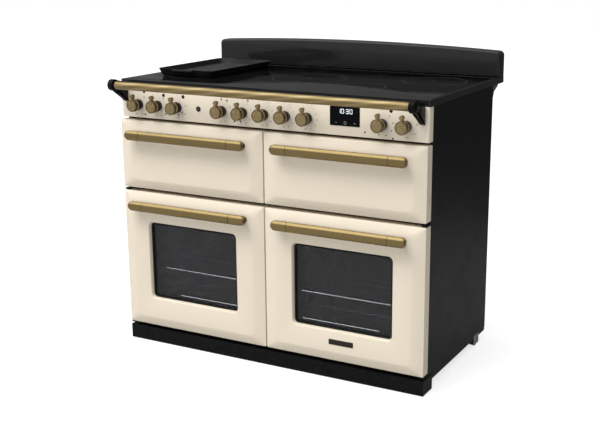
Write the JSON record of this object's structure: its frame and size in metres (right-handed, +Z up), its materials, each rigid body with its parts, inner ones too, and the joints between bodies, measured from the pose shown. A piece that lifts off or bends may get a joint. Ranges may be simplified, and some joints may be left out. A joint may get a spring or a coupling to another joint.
{
  "type": "induction range cooker",
  "caption": "Free-standing range cooker: induction hob with griddle, drop-down grill door, drawer, side-hinged oven doors with windows, brass knobs, handles and front rail.",
  "frame": {"origin": "on the floor, under the middle of the box round the whole cooker", "axes": "+X to the right as seen from the front, +Y to the back, +Z up"},
  "size_m": [1.092, 0.7246, 0.9944],
  "materials": {
    "cream_enamel": "gloss enamel",
    "black_enamel": "satin enamel",
    "grey_enamel": "speckled vitreous enamel",
    "brass": "brushed",
    "black_trim": "gloss",
    "ceramic_glass": "polished",
    "door_glass": "tinted",
    "plate": "dark anodised",
    "iron": "seasoned",
    "zinc_sheet": "zinc plated",
    "wire_chrome": "polished wire",
    "heater_steel": "heat darkened",
    "fan_steel": "plain",
    "winding": "enamelled wire",
    "switch_case": "moulded",
    "roller_nylon": "moulded",
    "module_case": "moulded"
  },
  "bodies": {
    "carcass": {"fascia": "cream_enamel", "side_panels": "black_enamel", "front_frame": "black_enamel", "plinth": "black_enamel", "base_tray": "black_enamel", "rail_brackets": "black_enamel", "door_hinges": "black_enamel", "backguard": "black_enamel", "hob_frame": "black_enamel", "left_oven_liner": "grey_enamel", "right_oven_liner": "grey_enamel", "grill_liner": "grey_enamel", "drawer_housing": "grey_enamel", "grill_pan": "grey_enamel", "fan_covers": "grey_enamel", "handrail": "brass", "knob_bezels": "black_trim", "display_module": "black_trim", "indicator_lamp": "black_trim", "hob_glass": "ceramic_glass", "back_panel": "zinc_sheet", "coil_tray": "module_case", "roller_brackets": "zinc_sheet", "front_feet": "zinc_sheet", "oven_shelves": "wire_chrome", "shelf_ladders": "wire_chrome", "heating_elements": "heater_steel", "fan_motors": "fan_steel", "induction_coils": "winding", "rotary_switches": "switch_case"},
    "left_door": {"left_door_skin": "cream_enamel", "left_door_liner": "zinc_sheet", "left_door_glass": "door_glass", "left_door_handle": "brass"},
    "right_door": {"right_door_skin": "cream_enamel", "right_door_liner": "zinc_sheet", "right_door_glass": "door_glass", "right_door_handle": "brass", "badge_plate": "plate"},
    "grill_door": {"grill_door_skin": "cream_enamel", "grill_door_liner": "zinc_sheet", "grill_door_handle": "brass"},
    "drawer": {"drawer_front": "cream_enamel", "drawer_box": "zinc_sheet", "drawer_handle": "brass"},
    "griddle": {"griddle": "iron"},
    "left_roller": {"left_roller": "roller_nylon"},
    "right_roller": {"right_roller": "roller_nylon"},
    "left_fan": {"left_fan": "fan_steel"},
    "right_fan": {"right_fan": "fan_steel"},
    "grill_knob": {"grill_knob": "brass"},
    "left_oven_function_knob": {"left_oven_function_knob": "brass"},
    "left_oven_heat_knob": {"left_oven_heat_knob": "brass"},
    "left_front_zone_knob": {"left_front_zone_knob": "brass"},
    "left_rear_zone_knob": {"left_rear_zone_knob": "brass"},
    "centre_zone_knob": {"centre_zone_knob": "brass"},
    "right_rear_zone_knob": {"right_rear_zone_knob": "brass"},
    "right_front_zone_knob": {"right_front_zone_knob": "brass"},
    "right_oven_function_knob": {"right_oven_function_knob": "brass"},
    "right_oven_heat_knob": {"right_oven_heat_knob": "brass"}
  },
  "joints": [
    {"name": "left_oven_door", "type": "hinge", "parent": "carcass", "child": "left_door", "pos_m": [-0.5365, -0.27405, 0.29525], "axis": [0, 0, -1], "range_deg": [0, 105]},
    {"name": "right_oven_door", "type": "hinge", "parent": "carcass", "child": "right_door", "pos_m": [0.5365, -0.27405, 0.29525], "axis": [0, 0, 1], "range_deg": [0, 105]},
    {"name": "grill_door_drop", "type": "hinge", "parent": "carcass", "child": "grill_door", "pos_m": [-0.27325, -0.28005, 0.547], "axis": [1, 0, 0], "range_deg": [0, 90]},
    {"name": "drawer_slide", "type": "slide", "parent": "carcass", "child": "drawer", "axis": [0, -1, 0], "range_m": [0, 0.3]},
    {"name": "griddle_lift", "type": "slide", "parent": "carcass", "child": "griddle", "axis": [0, 0, 1], "range_m": [0, 0.15]},
    {"name": "grill_knob_turn", "type": "hinge", "parent": "carcass", "child": "grill_knob", "pos_m": [-0.47377, -0.27775, 0.8167], "axis": [0, 1, 0], "range_deg": [0, 270]},
    {"name": "left_oven_function_knob_turn", "type": "hinge", "parent": "carcass", "child": "left_oven_function_knob", "pos_m": [-0.39776, -0.27775, 0.8167], "axis": [0, 1, 0], "range_deg": [0, 270]},
    {"name": "left_oven_heat_knob_turn", "type": "hinge", "parent": "carcass", "child": "left_oven_heat_knob", "pos_m": [-0.32175, -0.27775, 0.8167], "axis": [0, 1, 0], "range_deg": [0, 270]},
    {"name": "left_front_zone_knob_turn", "type": "hinge", "parent": "carcass", "child": "left_front_zone_knob", "pos_m": [-0.15202, -0.27775, 0.8167], "axis": [0, 1, 0], "range_deg": [0, 270]},
    {"name": "left_rear_zone_knob_turn", "type": "hinge", "parent": "carcass", "child": "left_rear_zone_knob", "pos_m": [-0.07601, -0.27775, 0.8167], "axis": [0, 1, 0], "range_deg": [0, 270]},
    {"name": "centre_zone_knob_turn", "type": "hinge", "parent": "carcass", "child": "centre_zone_knob", "pos_m": [0, -0.27775, 0.8167], "axis": [0, 1, 0], "range_deg": [0, 270]},
    {"name": "right_rear_zone_knob_turn", "type": "hinge", "parent": "carcass", "child": "right_rear_zone_knob", "pos_m": [0.07601, -0.27775, 0.8167], "axis": [0, 1, 0], "range_deg": [0, 270]},
    {"name": "right_front_zone_knob_turn", "type": "hinge", "parent": "carcass", "child": "right_front_zone_knob", "pos_m": [0.15202, -0.27775, 0.8167], "axis": [0, 1, 0], "range_deg": [0, 270]},
    {"name": "right_oven_function_knob_turn", "type": "hinge", "parent": "carcass", "child": "right_oven_function_knob", "pos_m": [0.39868, -0.27775, 0.8167], "axis": [0, 1, 0], "range_deg": [0, 270]},
    {"name": "right_oven_heat_knob_turn", "type": "hinge", "parent": "carcass", "child": "right_oven_heat_knob", "pos_m": [0.47469, -0.27775, 0.8167], "axis": [0, 1, 0], "range_deg": [0, 270]},
    {"name": "left_roller_spin", "type": "hinge", "parent": "carcass", "child": "left_roller", "pos_m": [-0.529, 0.19025, 0.017], "axis": [1, 0, 0], "continuous": true},
    {"name": "left_fan_spin", "type": "hinge", "parent": "carcass", "child": "left_fan", "pos_m": [-0.27325, 0.16925, 0.29525], "axis": [0, 1, 0], "continuous": true},
    {"name": "right_roller_spin", "type": "hinge", "parent": "carcass", "child": "right_roller", "pos_m": [0.529, 0.19025, 0.017], "axis": [1, 0, 0], "continuous": true},
    {"name": "right_fan_spin", "type": "hinge", "parent": "carcass", "child": "right_fan", "pos_m": [0.27325, 0.16925, 0.29525], "axis": [0, 1, 0], "continuous": true}
  ]
}
